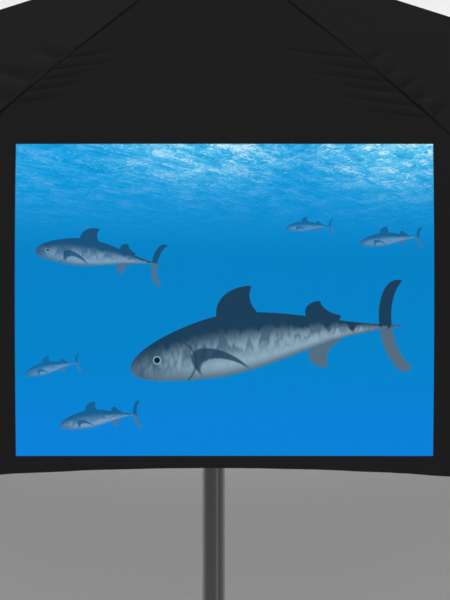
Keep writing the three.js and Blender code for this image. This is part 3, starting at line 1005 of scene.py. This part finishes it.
def tip_profile():
    """Neck and ball of a rib's tip: a short cone with two rings, then a ball cut by the neck."""
    turn = np.linspace(math.asin(TIP_NECK / TIP_BALL), math.pi, 12)
    ball = np.stack([TIP_BALL * np.sin(turn), TIP_LENGTH - TIP_BALL - TIP_BALL * np.cos(turn)], axis=1)
    rings = np.array([(0, 0.3), (2.0, 0.3), (2.3, 0.8), (2.3, 1.8), (1.9, 2.2), (1.9, 4.4), (2.2, 4.9),
                      (2.2, 5.6), (1.9, 6.1)]) * MM
    return np.concatenate([rounded(rings, TIP_EDGE), ball])


def thread_ring():
    """A few turns of thread round a rib as one ring: its outline has one bulge for each turn."""
    run = np.linspace(0, math.tau, 36)
    bulge = 0.6 + 0.5 * np.abs(np.sin(run)) * (0.6 + 0.4 * np.cos(2 * THREAD_TURNS * run))
    radius = RIB_RADIUS + THREAD * np.where(np.sin(run) < 0, -0.3, bulge)
    return turned(np.stack([radius, THREAD_TURNS * THREAD * np.cos(run)], axis=1), 24)


class UMBRELLA_OT_ribs(bpy.types.Operator):
    """Makes each rib as a rod along its line, with its turned tip, its joint clip and its thread ties"""

    bl_idname = "umbrella.ribs"
    bl_label = "Ribs"

    def execute(self, context):
        settings = context.scene.umbrella_frame
        rod, plastic = rod_finish(settings.rod), plastic_finish(settings.plastic)
        thread = thread_finish(context.scene.umbrella_cloth.thread)
        tip = on_rib(turned(tip_profile(), 28), RIM_RADIUS)
        ties = [on_rib(thread_ring(), radius) for radius in TIE_RADII]
        for number in RIB_NUMBERS:
            axes, body = spoke_axes(number), f"rib_{number}"
            gridded([rib_rod()], f"rib_rod_{number}", body, rod, f"rib_{number}", axes)
            gridded([tip], f"rib_tip_{number}", body, plastic, f"tip_{number}", axes)
            refined(f"saddle_{number}", f"joint_clip_{number}", body, plastic, CLIP_EDGE)
            gridded(ties, f"thread_ties_{number}", body, thread, axes=axes)
        return {"FINISHED"}


# Stretchers

RIB_JOINT = rib_point(JOINT_RADIUS, JOINT_DROP)
STRETCHER_LENGTH = float(math.hypot(RIB_JOINT[0] - HINGE_RADIUS, RIB_JOINT[2]))
STRETCHER_ANGLE = math.atan2(-RIB_JOINT[2], RIB_JOINT[0] - HINGE_RADIUS)


def channel_outline(width, depth, wall, steps=6):
    """A U-shaped channel, closed above and open below, as a closed outline of two rounded U lines."""
    turn = np.linspace(0, math.pi, steps)
    outer, inner = width / 2, width / 2 - wall
    lines = [
        np.stack([depth / 2 - outer + radius * np.sin(turn), radius * np.cos(turn)], axis=1)
        for radius in (outer, inner)
    ]
    foot = -depth / 2
    feet = [[foot, -outer], [foot, -inner]]
    return np.concatenate([[[foot, outer]], lines[0], feet, lines[1][::-1], [[foot, inner]]])


class UMBRELLA_OT_stretchers(bpy.types.Operator):
    """Makes each stretcher as a folded channel between two flat eyes"""

    bl_idname = "umbrella.stretchers"
    bl_label = "Stretchers"

    def execute(self, context):
        paint = paint_finish("stretcher paint", context.scene.umbrella_frame.paint)
        grids = [self.channel(), self.eye(0.0), self.eye(STRETCHER_LENGTH)]
        for number in RIB_NUMBERS:
            node = f"stretcher_{number}"
            gridded(grids, f"stretcher_bar_{number}", node, paint, node, spoke_axes(number))
        return {"FINISHED"}

    def at(self, distance):
        """A point of the bar's middle line, by its distance from the rib's joint. It ends as far under the
        joint as the rib's hinge is over it, so that bar and rib make two equal sides of a triangle."""
        step = np.array([-math.cos(STRETCHER_ANGLE), 0, -math.sin(STRETCHER_ANGLE)])
        return RIB_JOINT + np.array([0, STRETCHER_SIDE, 0]) + np.asarray(distance)[..., None] * step

    def channel(self):
        """The channel's outline carried along the bar, flattened from full depth where an eye begins."""
        start, neck = 0.75 * EYE_RADIUS, 6 * MM
        ends = np.linspace(start, neck, 8)
        even = np.linspace(neck, STRETCHER_LENGTH - neck, 24)[1:-1]
        run = np.concatenate([ends, even, STRETCHER_LENGTH - ends[::-1]])
        from_eye = np.minimum(run, STRETCHER_LENGTH - run)
        depths = STRETCHER_DEPTH * (0.72 + 0.28 * smooth_step(from_eye, start, neck))
        outlines = [channel_outline(STRETCHER_WIDTH * 0.96, depth, STRETCHER_WALL) for depth in depths]
        walls = swept(self.at, run, np.stack(outlines))
        first, last = (row.mean(axis=1, keepdims=True) + 0 * row for row in (walls[:1], walls[-1:]))
        return np.concatenate([first, walls, last])

    def eye(self, distance):
        """A flat washer about the pivot: a rounded rectangle turned about the hinge's direction."""
        half = STRETCHER_WIDTH / 2
        inside, outside = [(EYE_HOLE, 0)], [(EYE_RADIUS, half), (EYE_RADIUS, -half)]
        outline = [*inside, (EYE_HOLE, half), *outside, (EYE_HOLE, -half), *inside]
        ring = turned(rounded(outline, EYE_EDGE), 28)
        return ring[..., [0, 2, 1]] + self.at(distance)


# Shaft, crown and runner

def cap_profile():
    """A domed washer whose underside follows the cloth, closed round the shaft."""
    lift = 2.65 * MM * math.hypot(1, CROWN_SLOPE / math.cos(HALF_SECTOR)) + 0.4 * MM
    under = [(radius, rib_height(radius) + lift) for radius in (BORE, 9 * MM, 13 * MM, CAP_RADIUS)]
    near, middle, rim = (height for _, height in under[1:])
    dome = [(CAP_RADIUS, rim + 1.2 * MM), (13 * MM, middle + 2.6 * MM), (9.6 * MM, near + 3.3 * MM),
            (9.2 * MM, near + 2.9 * MM), (8.6 * MM, near + 3.4 * MM), (BORE, near + 3.4 * MM)]
    return [*under, *dome, under[0]]


# A long tapered spike with a ringed foot and a blunt end, as radii and heights
FERRULE_PROFILE = np.array([
    (0, 21.3), (5.3, 21.3), (5.3, 9.5), (7.4, 9.5), (7.4, 11.7), (7.0, 12.1), (7.4, 12.5), (7.4, 13.5),
    (6.2, 18.5), (4.9, 56.6), (4.6, 57), (4.8, 57.6), (4.7, 60.4), (3.7, 62), (0, 62),
]) * MM
# A sleeve over the top of the handle, with one groove, that narrows to the shaft
COLLAR_PROFILE = np.array([
    (5.3, -639.7), (11, -639.7), (11, -636.5), (10.6, -636), (11, -635.5), (11, -631.7), (7.6, -624.7),
    (7, -619.7), (5.3, -619.7), (5.3, -639.7),
]) * MM


class UMBRELLA_OT_shaft(bpy.types.Operator):
    """Makes the shaft, the cap over the cloth, the ferrule, the collar and the sprung catch"""

    bl_idname = "umbrella.shaft"
    bl_label = "Shaft and crown"

    def execute(self, context):
        settings = context.scene.umbrella_frame
        plastic, nickel = plastic_finish(settings.plastic), nickel_finish(settings.nickel)
        paint = paint_finish("shaft paint", settings.paint)
        refined("shaft", "shaft_tube", "root", paint, TUBE_EDGE)
        refined("hub", "rib_hub", "root", plastic, FITTING_EDGE)
        refined("top_catch", "sprung_catch", "root", nickel, CATCH_EDGE)
        for profile, name, material, slot, node in (
            (cap_profile(), "crown_cap", plastic, "fittings", "top_cap"),
            (FERRULE_PROFILE, "ferrule_spike", nickel, "nickel", "ferrule"),
            (COLLAR_PROFILE, "handle_collar", nickel, "nickel", "collar"),
        ):
            gridded([turned(rounded(profile, LATHE_EDGE))], name, "root", material, node)
        return {"FINISHED"}


class UMBRELLA_OT_runner(bpy.types.Operator):
    """Makes the runner that the stretchers open from"""

    bl_idname = "umbrella.runner"
    bl_label = "Runner"

    def execute(self, context):
        plastic = plastic_finish(context.scene.umbrella_frame.plastic)
        refined("runner", "runner_sleeve", "runner", plastic, FITTING_EDGE)
        return {"FINISHED"}


# Handle

def crook_path(distance):
    """Straight down from the collar, half a circle sideways, then a short way up, by the distance run."""
    turn = np.clip((distance - CROOK_STRAIGHT) / CROOK_RADIUS, 0, math.pi)
    rise = np.maximum(distance - CROOK_STRAIGHT - math.pi * CROOK_RADIUS, 0)
    height = HANDLE_TOP - np.minimum(distance, CROOK_STRAIGHT) - CROOK_RADIUS * np.sin(turn) + rise
    return np.stack([CROOK_RADIUS * (1 - np.cos(turn)), 0 * distance, height], axis=-1)


class UMBRELLA_OT_handle(bpy.types.Operator):
    """Makes the crook handle as a round section carried along its line, with a mould line on both sides"""

    bl_idname = "umbrella.handle"
    bl_label = "Handle"

    def execute(self, context):
        rubber = rubber_finish(context.scene.umbrella_frame.rubber)
        gridded([self.crook()], "crook_handle", "root", rubber, "handle")
        return {"FINISHED"}

    def crook(self):
        """Rows of the section: the well for the shaft from its bottom up, a small edge at the top, and the
        full radius down to a ball at the end. The well has no mould line."""
        full = CROOK_STRAIGHT + math.pi * CROOK_RADIUS + CROOK_RISE
        top_run, drawn_in = quarter(GRIP_EDGE, 6)
        even = np.linspace(GRIP_EDGE, full, 110)[1:-1]
        ball = np.linspace(0, math.pi / 2, 12)
        across, beyond = GRIP_RADIUS * np.cos(ball), GRIP_RADIUS * np.sin(ball)
        run = np.concatenate([[HANDLE_WELL, HANDLE_WELL, 0], top_run, even, full + beyond])
        radii = [[0, BORE, BORE], GRIP_RADIUS - drawn_in, GRIP_RADIUS + 0 * even, across]
        radii = np.concatenate(radii)[:, None]
        line = MOULD_LINE * bell(np.sin(round_steps(GRIP_SIDES)), 0.09) * (radii / GRIP_RADIUS) ** 2
        line[:2] = 0
        return swept(crook_path, run, (radii - line)[..., None] * circle(GRIP_SIDES))


# Stage

class UMBRELLA_OT_stage(bpy.types.Operator):
    """Makes the pale floor, the soft light and the camera at the photograph's angle"""

    bl_idname = "umbrella.stage"
    bl_label = "Stage"

    def execute(self, context):
        settings = context.scene.umbrella_stage
        self.add_floor(context, settings)
        self.add_world(context, settings)
        self.add_light(context, "key light", *KEY_LIGHT, settings.key)
        self.add_light(context, "fill light", *FILL_LIGHT, settings.fill)
        self.add_camera(context)
        return {"FINISHED"}

    def add_floor(self, context, settings):
        """A wide flat square just under the object, of plain matt paint with a faint unevenness."""
        mesh = bpy.data.meshes.new("floor")
        sides = ((-1, -1), (1, -1), (1, 1), (-1, 1))
        corners = [(x * FLOOR_REACH, y * FLOOR_REACH, -FLOOR_DROP) for x, y in sides]
        mesh.from_pydata(corners, [], [(0, 1, 2, 3)])
        finish = Finish("floor paint", roughness=0.85, specular_ior_level=0.2)
        cloud = finish.noise(finish.object_place(), 1.6, 3.0, 0.5)
        finish.link(finish.scaled(settings.floor, 0.985 + cloud * 0.03), "Base Color")
        mesh.materials.append(finish.material)
        floor = bpy.data.objects.new("floor", mesh)
        context.scene.collection.objects.link(floor)

    def add_world(self, context, settings):
        world = bpy.data.worlds.new("even light")
        world.use_nodes = True
        background = world.node_tree.nodes["Background"]
        background.inputs["Color"].default_value = (0.98, 0.985, 1.0, 1)
        background.inputs["Strength"].default_value = settings.sky
        context.scene.world = world
        context.scene.view_settings.view_transform = "Standard"

    def add_light(self, context, name, place, size, power):
        """A square light that looks at the umbrella's crown."""
        light = bpy.data.lights.new(name, "AREA")
        light.energy = power
        light.size = size
        lamp = bpy.data.objects.new(name, light)
        lamp.location = place
        lamp.rotation_euler = (Vector(CENTRE) - place).to_track_quat("-Z", "Y").to_euler()
        context.scene.collection.objects.link(lamp)

    def add_camera(self, context):
        """Looks at the printed panel square to the shaft. The lens is set so that a metre beside the shaft
        is as many pixels as in the photograph, and the view is moved so that shaft and crown fall on
        theirs."""
        data = bpy.data.cameras.new("camera")
        data.lens = PIXELS_PER_METRE * CAMERA_DISTANCE * data.sensor_width / PHOTO_HEIGHT
        data.clip_end = 100
        camera = bpy.data.objects.new("camera", data)
        back = -UMBRELLA[1] * math.cos(CAMERA_RAISE) + ALONG * math.sin(CAMERA_RAISE)
        up = np.cross(back, ACROSS)
        aside = (PHOTO_WIDTH / 2 - AXIS_PIXEL) / PIXELS_PER_METRE
        below = (PHOTO_HEIGHT / 2 - APEX_PIXEL) / PIXELS_PER_METRE
        place = CENTRE + ALONG * APEX_HEIGHT + ACROSS * aside - up * below + back * CAMERA_DISTANCE
        turn = Matrix(np.stack([ACROSS, up, back]).T.tolist())
        camera.matrix_world = Matrix.Translation(place) @ turn.to_4x4()
        context.scene.collection.objects.link(camera)
        context.scene.camera = camera


class UMBRELLA_PT_pieces(bpy.types.Panel):
    """Lists the sizes, colours and pieces in the sidebar"""

    bl_idname = "UMBRELLA_PT_pieces"
    bl_label = "Umbrella"
    bl_space_type = "VIEW_3D"
    bl_region_type = "UI"
    bl_category = "Umbrella"

    def draw(self, context):
        for name, group in GROUPS.items():
            box = self.layout.box()
            for setting in group.__annotations__:
                box.prop(getattr(context.scene, name), setting)
        for operator in OPERATORS:
            self.layout.operator(operator.bl_idname)


GROUPS = {
    "umbrella_cloth": UmbrellaCloth,
    "umbrella_print": UmbrellaPrint,
    "umbrella_frame": UmbrellaFrame,
    "umbrella_stage": UmbrellaStage,
}
OPERATORS = (
    UMBRELLA_OT_stage,
    UMBRELLA_OT_canopy,
    UMBRELLA_OT_ribs,
    UMBRELLA_OT_stretchers,
    UMBRELLA_OT_shaft,
    UMBRELLA_OT_runner,
    UMBRELLA_OT_handle,
)
CLASSES = (*GROUPS.values(), *OPERATORS, UMBRELLA_PT_pieces)


def register():
    for item in CLASSES:
        bpy.utils.register_class(item)
    for name, group in GROUPS.items():
        setattr(bpy.types.Scene, name, PointerProperty(type=group))


def unregister():
    for name in GROUPS:
        delattr(bpy.types.Scene, name)
    for item in reversed(CLASSES):
        bpy.utils.unregister_class(item)


def main():
    register()
    bpy.ops.umbrella.stage()
    bpy.ops.umbrella.canopy()
    bpy.ops.umbrella.ribs()
    bpy.ops.umbrella.stretchers()
    bpy.ops.umbrella.shaft()
    bpy.ops.umbrella.runner()
    bpy.ops.umbrella.handle()


if __name__ == "__main__":
    main()
